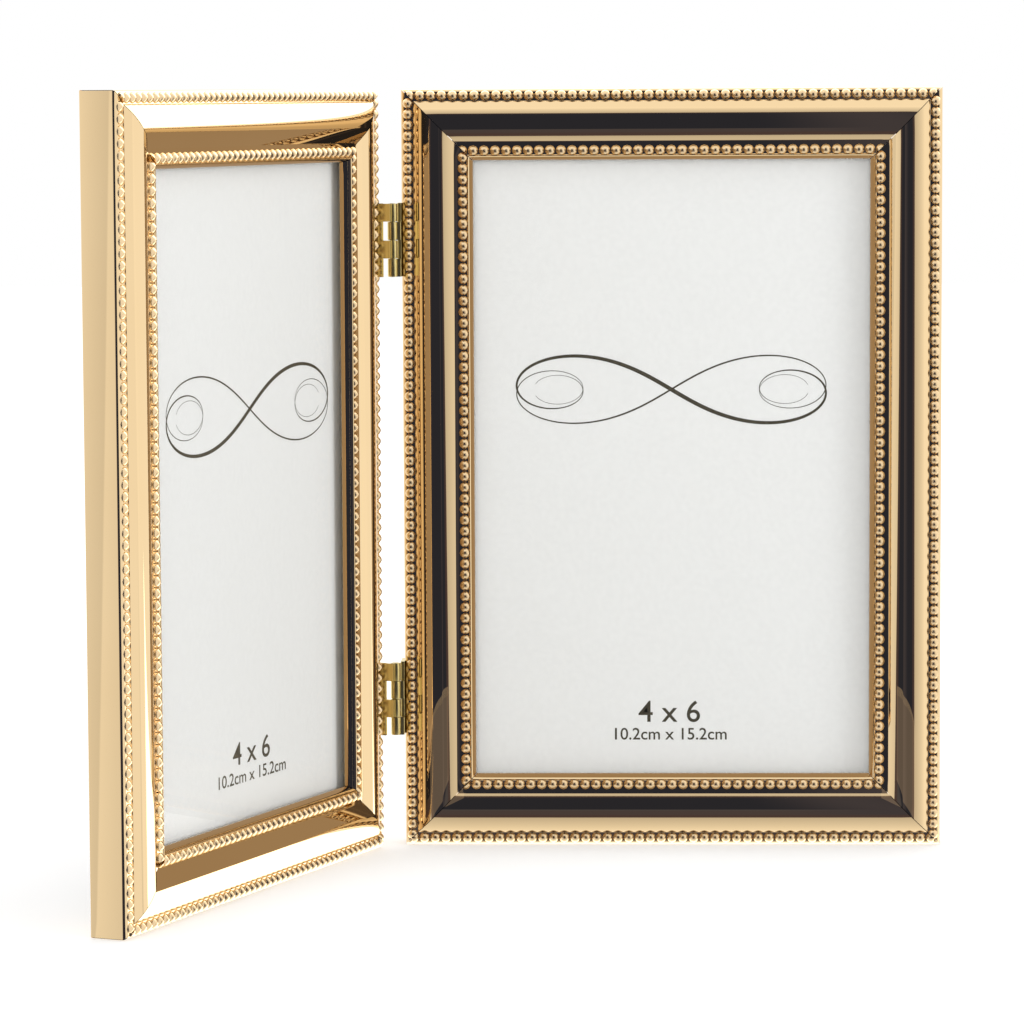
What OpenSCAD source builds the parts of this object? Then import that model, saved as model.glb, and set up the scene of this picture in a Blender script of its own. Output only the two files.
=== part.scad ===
// Double photo frame: two upright picture frames in bead-edged metal moulding, joined by two
// butt hinges so that they stand open like a book and fold face to face.
// The right frame's face looks along -Y and +Z is up. The origin is at the middle of the flat
// foot of the right frame. Each frame is drawn with its hinge edge at x = 0 and its back face
// at y = 0, its front along -y, and is then put in its place.

/* [Frames] */
// Width of one frame, outside
leaf_w = 125; // [112:0.5:160]
// Height of one frame, outside
leaf_h = 176.5; // [150:0.5:240]
// Angle between the two faces, as the frames stand
face_angle = 111.9; // [70:0.1:170]

/* [Moulding] */
// Depth of the flat outer wall, measured from the back face
wall_d = 7.55; // [7.3:0.05:9]
// Radius of the rounded outer edge, between the wall and the outer bead row
edge_r = 1; // [0.8:0.05:1.2]
// Distance from the outer wall to the foot of the dome
strip_w = 2.95; // [2.8:0.05:3.2]
// Height of the step from the outer bead strip up to the dome
outer_step = 0.55; // [0.3:0.05:0.8]
// Width of the dome's outer side, from its foot to the crest
dome_out_w = 5.85; // [5:0.05:8]
// Rise of the dome's outer side, from the top of its step to the crest
dome_rise = 1.6; // [1.2:0.05:2]
// Width of the dome's inner side, from the crest to the inner bead strip
dome_in_w = 3.55; // [3:0.05:5]
// Fall of the dome's inner side, from the crest to the inner bead strip
dome_fall = 1.65; // [1.2:0.05:1.9]
// Width of the inner bead strip
inner_strip_w = 2.95; // [2.8:0.05:3.3]
// Width over which the lip rises from the inner bead strip
lip_foot_w = 0.15; // [0.05:0.05:0.3]
// Height by which the lip rises above the inner bead strip
lip_rise = 0.3; // [0.1:0.05:0.5]
// Width of the curved lip along the picture opening
lip_w = 0.75; // [0.5:0.05:1]
// Fall of the curved lip towards the picture
lip_fall = 0.8; // [0.5:0.05:1.2]
// Width over which the reveal slopes from the lip down to the glass
reveal_w = 0.4; // [0.1:0.05:0.6]
// Depth of the glass ledge, measured from the back face
ledge_d = 6.65; // [6.6:0.05:7]
// Distance from the outer wall to the rabbet that holds the glass and board
rabbet_u = 11.4; // [11:0.05:12]
// Thickness of the rolled sheet metal
sheet_t = 0.6; // [0.5:0.05:0.7]
// Width of the seam at each mitred corner
mitre_gap = 0.1; // [0.06:0.02:0.2]

/* [Beads] */
// Radius of the ball that a bead is a cap of
bead_r = 1.18; // [0.9:0.02:1.22]
// Depth of a bead's centre below its strip
bead_sink = 0.45; // [0.1:0.05:0.6]
// Distance from the outer wall to the middle of the outer bead row
bead_u = 1.52; // [1.4:0.02:1.6]
// Distance from the dome to the middle of the inner bead row
inner_bead_in = 1.92; // [1.5:0.02:2]
// Spacing of the beads along a row
bead_pitch = 2.53; // [2.46:0.01:3.2]

/* [Picture] */
// Clearance between the glass and the rabbet at each side
glass_side_gap = 0.3; // [0.2:0.05:0.8]
// Clearance between the glass and the rabbet at the top and at the bottom
glass_end_gap = 0.65; // [0.2:0.05:0.8]
// Thickness of the glass
glass_t = 2; // [1.5:0.1:2.2]
// Thickness of the printed card behind the glass
card_t = 0.3; // [0.2:0.05:0.4]
// Thickness of the filler card behind the printed card
filler_t = 1; // [0.6:0.1:1.2]
// Thickness of the backing board
board_t = 2.9; // [2:0.1:3]
// Gap between each two sheets of the stack
stack_gap = 0.05; // [0.04:0.01:0.1]
// Clearance round the backing board in its rabbet
board_gap = 0.3; // [0.2:0.05:0.6]

/* [Corner keys] */
// Length of each leg of a corner key, from the frame's outer corner
key_leg = 22; // [16:0.5:24]
// Thickness of a corner key
key_t = 2; // [1:0.1:3]
// Clearance of a corner key inside the moulding
key_gap = 0.15; // [0.1:0.05:0.3]

/* [Turn buttons] */
// Thickness of a turn button
button_t = 0.8; // [0.6:0.05:1.2]
// Radius of a turn button's round pivot end
button_r = 3; // [2.6:0.1:3.6]
// Radius of a turn button's tip
button_tip_r = 2.5; // [1.8:0.1:3]
// Distance from a turn button's pivot to the centre of its tip
button_l = 8; // [7:0.1:9]
// Distance from the outer wall to the pivots
button_u = 5.7; // [5:0.1:6]
// Running gap on either side of a turn button
button_play = 0.2; // [0.15:0.05:0.3]
// Radius of a turn button's rivet
rivet_r = 1.2; // [0.9:0.05:1.4]
// Radius of the rivet's head
rivet_head_r = 2.2; // [1.8:0.1:2.6]
// Thickness of the rivet's head
rivet_head_t = 0.7; // [0.5:0.05:1]
// Clearance round a rivet in its holes
rivet_fit = 0.05; // [0.03:0.01:0.08]

/* [Hinges] */
// Distance from the side wall out to the hinge axis
axis_out = 1.95; // [1.9:0.05:2.3]
// Distance from the back face forward to the hinge axis
axis_d = 11.2; // [11.1:0.05:12]
// Length of a hinge
hinge_h = 17; // [14:0.5:24]
// Distance from the frame's top or bottom edge to the nearer end of its hinge
hinge_inset = 26.3; // [25:0.1:40]
// Thickness of a hinge plate
plate_t = 0.8; // [0.6:0.05:0.8]
// Depth of a hinge plate's rear edge, measured from the back face
plate_back = 2.2; // [1.6:0.1:3]
// Depth of a hinge plate's front edge between its knuckles
plate_front = 9.4; // [9:0.1:9.6]
// Outer radius of a knuckle
knuckle_r = 1.15; // [1:0.05:1.15]
// Gap between neighbouring knuckles
knuckle_gap = 0.2; // [0.15:0.05:0.4]
// Number of knuckles in a hinge
knuckle_n = 4; // [2:2:6]
// Thickness of the web that joins a knuckle to its plate
web_t = 1; // [0.6:0.1:1.2]
// Radius of the hinge pin
pin_r = 0.6; // [0.5:0.02:0.7]
// Clearance round the hinge pin
pin_fit = 0.04; // [0.02:0.01:0.06]
// Radius of a hinge rivet's shank
hinge_rivet_r = 0.55; // [0.4:0.05:0.7]
// Radius of a hinge rivet's head
hinge_rivet_head_r = 1; // [0.8:0.05:1.2]
// Thickness of a hinge rivet's head
hinge_rivet_head_t = 0.35; // [0.25:0.05:0.4]
// Distance between the two rivets of a plate
hinge_rivet_pitch = 10; // [8:0.5:11]

/* [Hidden] */
$fn = 64;

gold = [0.87, 0.75, 0.53];
hinge_brass = [0.78, 0.66, 0.34];
steel = [0.7, 0.7, 0.72];
velvet = [0.08, 0.08, 0.09];

// Overrun of every cut past the faces that it goes through
cut_over = 1;
// Steps along the curved sides of the dome, and along the rounded edge and the lip
dome_steps = 14;
arc_steps = 8;
// Powers with which the dome's inner side and the lip fall away: 1 is a straight slope
dome_in_power = 1.25;
lip_power = 1.5;

// The moulding's section has u inward from the outer wall and d forward from the back face.
strip_d = wall_d + edge_r;
dome_foot_d = strip_d + outer_step;
crest_u = strip_w + dome_out_w;
crest_d = dome_foot_d + dome_rise;
inner_strip_u = crest_u + dome_in_w;
inner_strip_d = crest_d - dome_fall;
lip_u = inner_strip_u + inner_strip_w + lip_foot_w;
lip_d = inner_strip_d + lip_rise;
reveal_u = lip_u + lip_w;
moulding_w = reveal_u + reveal_w;
inner_bead_u = inner_strip_u + inner_bead_in;

// Least distance from a mitre's corner to a bead's centre, measured along the row
bead_lead = (bead_r + mitre_gap) * sqrt(2);

// The picture, the glass and the cards are 101.6 by 152.4 mm, which is 4 by 6 inches
photo_w = leaf_w - 2 * (rabbet_u + glass_side_gap);
photo_h = leaf_h - 2 * (rabbet_u + glass_end_gap);

// Depths of the stack, from the glass back to the board
glass_d = ledge_d - stack_gap - glass_t;
card_d = glass_d - stack_gap - card_t;
filler_d = card_d - stack_gap - filler_t;
board_d = filler_d - stack_gap - board_t;

// Where the origin lies in a frame's own coordinates
origin_x = leaf_w / 2;
origin_y = -wall_d / 2;

function arc(cu, cd, r, from, to) =
    [for (i = [0 : arc_steps]) let (a = from + (to - from) * i / arc_steps) [cu + r * cos(a), cd + r * sin(a)]];

// The dome's outer side is a parabola. Its inner side turns quickly at the crest and then falls
// almost straight. inset moves a curve inward along its normal, which gives the inside of the sheet.
function dome_out(inset) = [
    for (i = [0 : dome_steps])
        let (s = 1 - i / dome_steps, slope = atan(2 * dome_rise / dome_out_w * s))
        [crest_u - dome_out_w * s + inset * sin(slope), crest_d - dome_rise * s * s - inset * cos(slope)]
];
function dome_in(inset) = [
    for (i = [1 : dome_steps])
        let (
            s = i / dome_steps,
            slope = atan(dome_in_power * dome_fall / dome_in_w * pow(s, dome_in_power - 1))
        )
        [
            crest_u + dome_in_w * s - inset * sin(slope),
            crest_d - dome_fall * pow(s, dome_in_power) - inset * cos(slope)
        ]
];

// The lip, from its highest edge down to the reveal
function lip() = [
    for (i = [0 : arc_steps])
        let (s = i / arc_steps)
        [lip_u + lip_w * s, lip_d - lip_fall * pow(s, lip_power)]
];

function skin_points() = concat(
    [[0, 0]],
    arc(edge_r, wall_d, edge_r, 180, 90),
    [[strip_w, strip_d]],
    dome_out(0),
    dome_in(0),
    [[lip_u - lip_foot_w, inner_strip_d]],
    lip(),
    [[moulding_w, ledge_d], [rabbet_u, ledge_d], [rabbet_u, 0]]
);

function hollow_points() = concat(
    [[sheet_t, sheet_t]],
    arc(edge_r, wall_d, edge_r - sheet_t, 180, 90),
    [[strip_w + sheet_t, strip_d - sheet_t]],
    [for (p = dome_out(sheet_t)) if (p[0] > strip_w + sheet_t) p],
    [for (p = dome_in(sheet_t)) if (p[0] < inner_strip_u - sheet_t / 2) p],
    [
        [inner_strip_u - sheet_t / 2, inner_strip_d - sheet_t],
        [reveal_u - sheet_t, inner_strip_d - sheet_t],
        [reveal_u - sheet_t, ledge_d + sheet_t],
        [rabbet_u - sheet_t, ledge_d + sheet_t],
        [rabbet_u - sheet_t, sheet_t]
    ]
);

module section() {
    difference() {
        polygon([for (p = skin_points()) [p[0], -p[1]]]);
        polygon([for (p = hollow_points()) [p[0], -p[1]]]);
    }
}

// A row of beads on a strip at depth d, spaced evenly between the mitres of a moulding
module bead_row(length, u, d) {
    first = u + bead_lead;
    gaps = round((length - 2 * first) / bead_pitch);
    step = (length - 2 * first) / gaps;
    for (i = [0 : gaps]) translate([u, bead_sink - d, first + step * i]) sphere(r = bead_r);
}

// One length of moulding, standing along z with its outer wall at x = 0, mitred at both ends
module moulding(length) {
    near = -cut_over;
    far = moulding_w + cut_over;
    seam = mitre_gap / sqrt(2);
    intersection() {
        linear_extrude(height = length) section();
        translate([0, cut_over, 0]) rotate([90, 0, 0]) linear_extrude(height = crest_d + 2 * cut_over)
            polygon([
                [near, near + seam], [far, far + seam],
                [far, length - far - seam], [near, length - near - seam]
            ]);
    }
    bead_row(length, bead_u, strip_d);
    bead_row(length, inner_bead_u, inner_strip_d);
}

// Stands what is drawn along z on its side, along x
module lie_down() {
    mirror([1, 0, -1]) children();
}

// The four places round a frame: each child is drawn on the left edge, along z
module at_top() {
    translate([0, 0, leaf_h]) mirror([0, 0, 1]) lie_down() children();
}

module at_free_side() {
    translate([leaf_w, 0, 0]) mirror([1, 0, 0]) children();
}

module on_right() {
    translate([-origin_x, -origin_y, 0]) children();
}

module on_left() {
    on_right() translate([-axis_out, -axis_d, 0]) rotate([0, 0, 180 - face_angle])
        mirror([1, 0, 0]) translate([axis_out, axis_d, 0]) children();
}

// A plug along y, from depth d0 to depth d1, at [x, z]
module plug(x, z, d0, d1, r) {
    translate([x, -d0, z]) rotate([90, 0, 0]) cylinder(r = r, h = d1 - d0);
}

module rail() {
    color(gold) difference() {
        lie_down() moulding(leaf_w);
        plug(leaf_w / 2, button_u, -cut_over, sheet_t + cut_over, rivet_r + rivet_fit);
    }
}

module top_rail() {
    translate([0, 0, leaf_h]) mirror([0, 0, 1]) rail();
}

module free_stile() {
    color(gold) at_free_side() difference() {
        moulding(leaf_h);
        plug(button_u, leaf_h / 2, -cut_over, sheet_t + cut_over, rivet_r + rivet_fit);
    }
}

// Heights of the two hinges' lower ends, and of the rivets that hold their plates
hinge_z = [hinge_inset, leaf_h - hinge_inset - hinge_h];
hinge_rivet_d = (plate_back + wall_d) / 2;
hinge_rivet_z = [
    for (z = hinge_z) each [
        z + hinge_h / 2 - hinge_rivet_pitch / 2,
        z + hinge_h / 2 + hinge_rivet_pitch / 2
    ]
];

module hinge_stile() {
    color(gold) difference() {
        moulding(leaf_h);
        plug(button_u, leaf_h / 2, -cut_over, sheet_t + cut_over, rivet_r + rivet_fit);
        for (z = hinge_rivet_z)
            translate([-cut_over, -hinge_rivet_d, z]) rotate([0, 90, 0])
                cylinder(r = hinge_rivet_r + rivet_fit, h = sheet_t + 2 * cut_over);
    }
}

// One L-shaped key, in the corner at x = 0, z = 0
module corner_key() {
    outer = sheet_t + key_gap;
    inner = rabbet_u - sheet_t - key_gap;
    translate([0, -(sheet_t + key_gap), 0]) rotate([90, 0, 0]) linear_extrude(height = key_t)
        polygon([
            [outer, outer], [key_leg, outer], [key_leg, inner],
            [inner, inner], [inner, key_leg], [outer, key_leg]
        ]);
}

module corner_keys() {
    color(steel) {
        corner_key();
        at_free_side() corner_key();
        translate([0, 0, leaf_h]) mirror([0, 0, 1]) {
            corner_key();
            at_free_side() corner_key();
        }
    }
}

// A flat sheet of the stack, centred in the frame, with its rear face at depth d
module sheet(w, h, d, t) {
    translate([(leaf_w - w) / 2, -d - t, (leaf_h - h) / 2]) cube([w, t, h]);
}

module glass() {
    color([0.8, 0.88, 0.9, 0.4]) sheet(photo_w, photo_h, glass_d, glass_t);
}

module photo_card() {
    color([0.91, 0.91, 0.91]) sheet(photo_w, photo_h, card_d, card_t);
}

module filler_card() {
    color([0.6, 0.56, 0.5]) sheet(photo_w, photo_h, filler_d, filler_t);
}

module backing_board() {
    side = 2 * (rabbet_u + board_gap);
    color(velvet) sheet(leaf_w - side, leaf_h - side, board_d, board_t);
}

// A turn button on the left edge at z = 0, with its tip pointing inward over the board
module turn_button() {
    rear = -button_play - button_t;
    color(hinge_brass) difference() {
        union() {
            plug(button_u, 0, rear, rear + button_t, button_r);
            plug(button_u + button_l, 0, rear, rear + button_t, button_tip_r);
            translate([button_u, -rear - button_t, -button_tip_r])
                cube([button_l, button_t, 2 * button_tip_r]);
        }
        plug(button_u, 0, rear - cut_over, cut_over, rivet_r + rivet_fit);
    }
}

// The rivet of a turn button: its domed head outside, its shank, and its tail in the moulding
module button_rivet() {
    head = -2 * button_play - button_t;
    tail = sheet_t + rivet_fit;
    plug(button_u, 0, head, tail, rivet_r);
    plug(button_u, 0, head - rivet_head_t / 2, head, rivet_head_r);
    plug(button_u, 0, head - rivet_head_t, head - rivet_head_t / 2, (rivet_head_r + rivet_r) / 2);
    plug(button_u, 0, tail, tail + rivet_head_t / 2, (rivet_head_r + rivet_r) / 2);
}

module button_top() {
    at_top() translate([0, 0, leaf_w / 2]) turn_button();
}

module button_bottom() {
    lie_down() translate([0, 0, leaf_w / 2]) turn_button();
}

module button_hinge_side() {
    translate([0, 0, leaf_h / 2]) turn_button();
}

module button_free_side() {
    at_free_side() translate([0, 0, leaf_h / 2]) turn_button();
}

module button_rivets() {
    color(hinge_brass) {
        at_top() translate([0, 0, leaf_w / 2]) button_rivet();
        lie_down() translate([0, 0, leaf_w / 2]) button_rivet();
        translate([0, 0, leaf_h / 2]) button_rivet();
        at_free_side() translate([0, 0, leaf_h / 2]) button_rivet();
    }
}

// One half of a hinge: a plate on the side wall, and every other knuckle from the one given
module hinge_plate(z, first) {
    knuckle_h = (hinge_h - (knuckle_n - 1) * knuckle_gap) / knuckle_n;
    color(hinge_brass) difference() {
        union() {
            translate([-plate_t, -plate_front, z]) cube([plate_t, plate_front - plate_back, hinge_h]);
            for (i = [first : 2 : knuckle_n - 1]) translate([0, 0, z + i * (knuckle_h + knuckle_gap)]) {
                translate([-axis_out, -axis_d, 0]) cylinder(r = knuckle_r, h = knuckle_h);
                translate([-plate_t, -axis_d - web_t / 2, 0])
                    cube([plate_t, axis_d - plate_back, knuckle_h]);
                translate([-axis_out, -axis_d - web_t / 2, 0]) cube([axis_out, web_t, knuckle_h]);
            }
        }
        translate([-axis_out, -axis_d, z - cut_over])
            cylinder(r = pin_r + pin_fit, h = hinge_h + 2 * cut_over);
        for (dz = [-1, 1])
            translate([-plate_t - cut_over, -hinge_rivet_d, z + hinge_h / 2 + dz * hinge_rivet_pitch / 2])
                rotate([0, 90, 0]) cylinder(r = hinge_rivet_r + rivet_fit, h = plate_t + 2 * cut_over);
    }
}

module hinge_pin(z) {
    color(hinge_brass) translate([-axis_out, -axis_d, z]) cylinder(r = pin_r, h = hinge_h);
}

// The rivets that hold both plates of one frame: head, shank and the tail inside the moulding
module hinge_rivets() {
    tail = sheet_t + rivet_fit;
    color(hinge_brass) for (z = hinge_rivet_z) translate([0, -hinge_rivet_d, z]) rotate([0, 90, 0]) {
        translate([0, 0, -plate_t - hinge_rivet_head_t])
            cylinder(r = hinge_rivet_head_r, h = hinge_rivet_head_t);
        translate([0, 0, -plate_t]) cylinder(r = hinge_rivet_r, h = plate_t + tail);
        translate([0, 0, tail]) cylinder(r = hinge_rivet_head_r, h = hinge_rivet_head_t);
    }
}

on_right() top_rail();  // right_top_rail
on_right() rail();  // right_bottom_rail
on_right() hinge_stile();  // right_hinge_stile
on_right() free_stile();  // right_free_stile
on_right() corner_keys();  // right_corner_keys
on_right() glass();  // right_glass
on_right() photo_card();  // right_photo_card
on_right() filler_card();  // right_filler_card
on_right() backing_board();  // right_backing_board
on_right() button_top();  // right_turn_button_top
on_right() button_bottom();  // right_turn_button_bottom
on_right() button_hinge_side();  // right_turn_button_hinge_side
on_right() button_free_side();  // right_turn_button_free_side
on_right() button_rivets();  // right_turn_button_rivets
on_left() top_rail();  // left_top_rail
on_left() rail();  // left_bottom_rail
on_left() hinge_stile();  // left_hinge_stile
on_left() free_stile();  // left_free_stile
on_left() corner_keys();  // left_corner_keys
on_left() glass();  // left_glass
on_left() photo_card();  // left_photo_card
on_left() filler_card();  // left_filler_card
on_left() backing_board();  // left_backing_board
on_left() button_top();  // left_turn_button_top
on_left() button_bottom();  // left_turn_button_bottom
on_left() button_hinge_side();  // left_turn_button_hinge_side
on_left() button_free_side();  // left_turn_button_free_side
on_left() button_rivets();  // left_turn_button_rivets
on_right() hinge_plate(hinge_z[1], 0);  // upper_hinge_right_plate
on_left() hinge_plate(hinge_z[1], 1);  // upper_hinge_left_plate
on_right() hinge_pin(hinge_z[1]);  // upper_hinge_pin
on_right() hinge_plate(hinge_z[0], 0);  // lower_hinge_right_plate
on_left() hinge_plate(hinge_z[0], 1);  // lower_hinge_left_plate
on_right() hinge_pin(hinge_z[0]);  // lower_hinge_pin
on_right() hinge_rivets();  // right_hinge_rivets
on_left() hinge_rivets();  // left_hinge_rivets
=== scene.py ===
# %% [markdown]
# # A hinged double photo frame
# Two upright frames in bead-edged, gold-plated metal stand open like a book on two small brass
# hinges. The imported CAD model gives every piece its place. This lesson dresses it: it replaces
# the mouldings by smooth mirror-bright ones and the hinge halves by finer ones, prints the cards,
# and gives all the rest its real finish.

import math

import bpy
import numpy as np
from mathutils import Matrix, Vector


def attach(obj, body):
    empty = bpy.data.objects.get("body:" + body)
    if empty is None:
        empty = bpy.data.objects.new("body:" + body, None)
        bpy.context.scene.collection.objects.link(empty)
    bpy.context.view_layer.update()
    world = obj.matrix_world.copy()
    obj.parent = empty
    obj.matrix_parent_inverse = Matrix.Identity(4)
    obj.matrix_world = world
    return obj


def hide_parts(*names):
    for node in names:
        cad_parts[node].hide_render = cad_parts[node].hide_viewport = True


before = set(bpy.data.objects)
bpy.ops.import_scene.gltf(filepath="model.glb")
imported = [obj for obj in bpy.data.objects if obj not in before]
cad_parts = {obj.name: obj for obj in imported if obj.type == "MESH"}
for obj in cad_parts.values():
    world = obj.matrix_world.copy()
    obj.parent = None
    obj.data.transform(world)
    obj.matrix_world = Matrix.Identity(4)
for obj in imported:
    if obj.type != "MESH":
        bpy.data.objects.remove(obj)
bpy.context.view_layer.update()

# %% [markdown]
# ## The camera
# The photograph was taken from a metre away with a long lens, level with the top of the frames and
# looking slightly down. The camera comes first, so that each later piece can be judged through it.

# %% Place the camera
CAMERA_PLACE = (-0.00499, -1.03622, 0.17601)
PAN, TILT, ROLL = 1.790, -5.411, 0.286
camera = bpy.data.cameras.new("camera")
camera.sensor_width = 36
camera.lens = 156.46
camera.clip_start, camera.clip_end = 0.05, 20
camera_object = bpy.data.objects.new("camera", camera)
bpy.context.scene.collection.objects.link(camera_object)
bpy.context.scene.camera = camera_object
turn = (
    Matrix.Rotation(math.radians(PAN), 3, "Z")
    @ Matrix.Rotation(math.radians(TILT), 3, "X")
    @ Matrix.Rotation(math.radians(ROLL), 3, "Y")
)
upright = Matrix.Rotation(math.radians(90), 3, "X")
camera_object.matrix_world = Matrix.Translation(CAMERA_PLACE) @ (turn @ upright).to_4x4()
print("camera stands", round(-camera_object.location.y, 3), "m in front")

# %% [markdown]
# ## Sizes
# These are the CAD model's own sizes, in millimetres. Only the beads and the step at the dome's foot
# differ from it, by a third of a millimetre at most, because the finer surfaces here can follow the
# real ones closer. u runs inward from a frame's outer wall and d runs forward from its back face, so
# a point of the moulding's section is a pair (u, d). Going inward, the section has the strip for the
# outer beads, the two sides of the dome, the strip for the inner beads and the lip.

# %% Write down the sizes
LEAF_W, LEAF_H, FACE_ANGLE = 125.0, 176.5, 111.9
FOLD = math.radians(180 - FACE_ANGLE)
WALL_D, EDGE_R, STRIP_U = 7.55, 1.0, 2.95
STRIP_D = WALL_D + EDGE_R
DOME_OUT_W, DOME_IN_W, DOME_FALL, CREST_D = 5.85, 3.55, 1.65, 10.7
OUTER_STEP, OUTER_POWER, INNER_POWER = 0.23, 2.39, 1.25
CREST_U = STRIP_U + DOME_OUT_W
INNER_U, INNER_D = CREST_U + DOME_IN_W, CREST_D - DOME_FALL
INNER_STRIP_W, LIP_FOOT_W, LIP_W, REVEAL_W = 2.95, 0.15, 0.75, 0.4
LIP_RISE, LIP_FALL, LIP_POWER = 0.3, 0.8, 1.5
LIP_U = INNER_U + INNER_STRIP_W + LIP_FOOT_W
MOULDING_W, LEDGE_D, RABBET_U = LIP_U + LIP_W + REVEAL_W, 6.65, 11.4
BEAD_U, INNER_BEAD_U = 1.6, INNER_U + 1.92
BEAD_R, BEAD_H, BEAD_PITCH, SEAM = 1.22, 0.9, 2.53, 0.1
GLASS_T, STACK_GAP = 2.0, 0.05
AXIS_OUT, AXIS_D = 1.95, 11.2
HINGE_H, HINGE_INSET, KNUCKLE_R, KNUCKLES = 17.0, 26.3, 1.15, 4
PLATE_T, PLATE_BACK, PLATE_FRONT, PIN_HOLE_R = 0.8, 2.2, 9.4, 0.64
print("moulding", round(MOULDING_W, 2), "mm wide and", CREST_D, "mm deep")

# %% [markdown]
# ## From a frame's own axes to the scene
# Every piece is worked out once, on a frame that lies flat with its hinge edge at x = 0. The right
# frame only slides to its place. The left one is mirrored, so that its hinge edge faces the right
# one's, and turned about the hinge pins. One function does both, for whole arrays of points.

# %% Carry points to their place
HINGE_X, HINGE_Y = -LEAF_W / 2 - AXIS_OUT, WALL_D / 2 - AXIS_D


def place(points, side):
    """Takes rows (x, d, z) of a frame in mm and gives scene points in metres. The right frame's x and d
    shift to the middle of its foot. The left frame's are measured from the hinge axis, mirrored in x,
    turned by FOLD about it and put back."""
    x, d, z = np.asarray(points, float).T
    if side == "right":
        out = np.stack([x - LEAF_W / 2, WALL_D / 2 - d, z], axis=1)
    else:
        a, b = -(x + AXIS_OUT), AXIS_D - d
        out = np.stack([
            HINGE_X + math.cos(FOLD) * a - math.sin(FOLD) * b,
            HINGE_Y + math.sin(FOLD) * a + math.cos(FOLD) * b,
            z,
        ], axis=1)
    return out / 1000


print("a frame's hinge corner lands at", place([(0, 0, 0)], "left").round(4).tolist())

# %% [markdown]
# ## From points and faces to an object
# The shapes below are worked out as arrays of points and faces. One helper makes each of them into a
# smooth-shaded object that moves with its body. A face shows its front only where its corners run
# anticlockwise, so the helper measures the enclosed volume and turns the faces round if it is negative.

# %% Make an object of closed surfaces


def volume(points, polygons):
    """Sums, over every face cut into a fan of triangles, the volume of the wedge to the origin. The sum
    is positive where the faces point outwards."""
    total = 0.0
    for faces in polygons:
        a = points[faces[:, 0]]
        for k in range(1, faces.shape[1] - 1):
            b, c = points[faces[:, k]], points[faces[:, k + 1]]
            total += np.einsum("ij,ij->i", a, np.cross(b, c)).sum() / 6
    return total


def outward(points, polygons):
    """Turns all the faces round where the volume they enclose counts as negative."""
    points = np.asarray(points, float)
    polygons = [np.asarray(f, int) for f in polygons]
    return points, polygons if volume(points, polygons) > 0 else [f[:, ::-1] for f in polygons]


def build(name, points, polygons, body, material, sharp=35):
    """Makes one object of closed surfaces: points are scene points and polygons are arrays of faces, all
    with their corners in the same order. Edges that bend by more than sharp degrees stay sharp."""
    points, polygons = outward(points, polygons)
    mesh = bpy.data.meshes.new(name)
    mesh.from_pydata(points.tolist(), [], [face for f in polygons for face in f.tolist()])
    mesh.polygons.foreach_set("use_smooth", np.ones(len(mesh.polygons), bool))
    mesh.set_sharp_from_angle(angle=math.radians(sharp))
    mesh.materials.append(material)
    piece = bpy.data.objects.new(name, mesh)
    bpy.context.scene.collection.objects.link(piece)
    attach(piece, body)
    return piece


cut_corner = [(0, 0, 0), (1, 0, 0), (0, 1, 0), (0, 0, 1)]
cut_faces = [[(0, 2, 1), (0, 1, 3), (0, 3, 2), (1, 2, 3)]]
print("the corner cut off a cube of side 1 holds", round(volume(*outward(cut_corner, cut_faces)), 4))

# %% [markdown]
# ## Finishes
# Polished gold plate has no colour of its own: it shows its surroundings, tinted. So its material is
# a plain metal with a very fine, wide waviness, because rolled sheet is never quite flat, and faint
# patches in its roughness, as wiping leaves. The small helpers below add nodes and fill their sockets.

# %% Helpers for materials


def new_material(name):
    """A material with a Principled shader, returned with its node tree and that shader."""
    material = bpy.data.materials.new(name)
    material.use_nodes = True
    tree = material.node_tree
    return material, tree, tree.nodes["Principled BSDF"]


def node(tree, kind, values=(), **settings):
    """Adds a node, sets its properties, and fills or links its input sockets by name or number."""
    made = tree.nodes.new(kind)
    for key, value in settings.items():
        setattr(made, key, value)
    for key, value in dict(values).items():
        if isinstance(value, bpy.types.NodeSocket):
            tree.links.new(value, made.inputs[key])
        else:
            made.inputs[key].default_value = value
    return made


def object_space(tree):
    """The place of a point on the piece, in metres, which doesn't change when the piece moves."""
    return tree.nodes.new("ShaderNodeTexCoord").outputs["Object"]


def between(tree, value, low, high):
    """Spreads a value's 0 to 1 over low to high."""
    return node(tree, "ShaderNodeMapRange", {0: value, 3: low, 4: high}).outputs[0]


def calc(tree, operation, a, b, clamp=False):
    """One step of arithmetic on node values."""
    return node(tree, "ShaderNodeMath", {0: a, 1: b}, operation=operation, use_clamp=clamp).outputs[0]


def ramp_up(tree, value, start, end, low=0.0, high=1.0):
    """Goes smoothly from low to high while the value goes from start to end, which may be the lesser."""
    values = {0: value, 1: start, 2: end, 3: low, 4: high}
    return node(tree, "ShaderNodeMapRange", values, interpolation_type="SMOOTHSTEP").outputs[0]


def noise(tree, where, scale, detail):
    """A cloudy pattern from 0 to 1, with about scale patches to a metre."""
    return node(tree, "ShaderNodeTexNoise", {"Vector": where, "Scale": scale, "Detail": detail}).outputs[0]


def two_tones(tree, value, start, low, high):
    """A colour that goes from low to high while a pattern rises from start to 1 less start."""
    ramp = node(tree, "ShaderNodeValToRGB", {0: value})
    for element, position, colour in zip(ramp.color_ramp.elements, (start, 1 - start), (low, high)):
        element.position = position
        element.color = (*colour, 1)
    return ramp.outputs[0]


def bumped(tree, height, depth, below=None):
    """Normals of a surface that rises by depth metres with a pattern, on top of other normals if given."""
    values = {"Height": height, "Strength": 1.0, "Distance": depth}
    if below is not None:
        values["Normal"] = below
    return node(tree, "ShaderNodeBump", values).outputs[0]


def surface(tree, shader):
    """Makes a shader node the look of the material's surface."""
    tree.links.new(shader.outputs[0], tree.nodes["Material Output"].inputs["Surface"])


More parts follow.
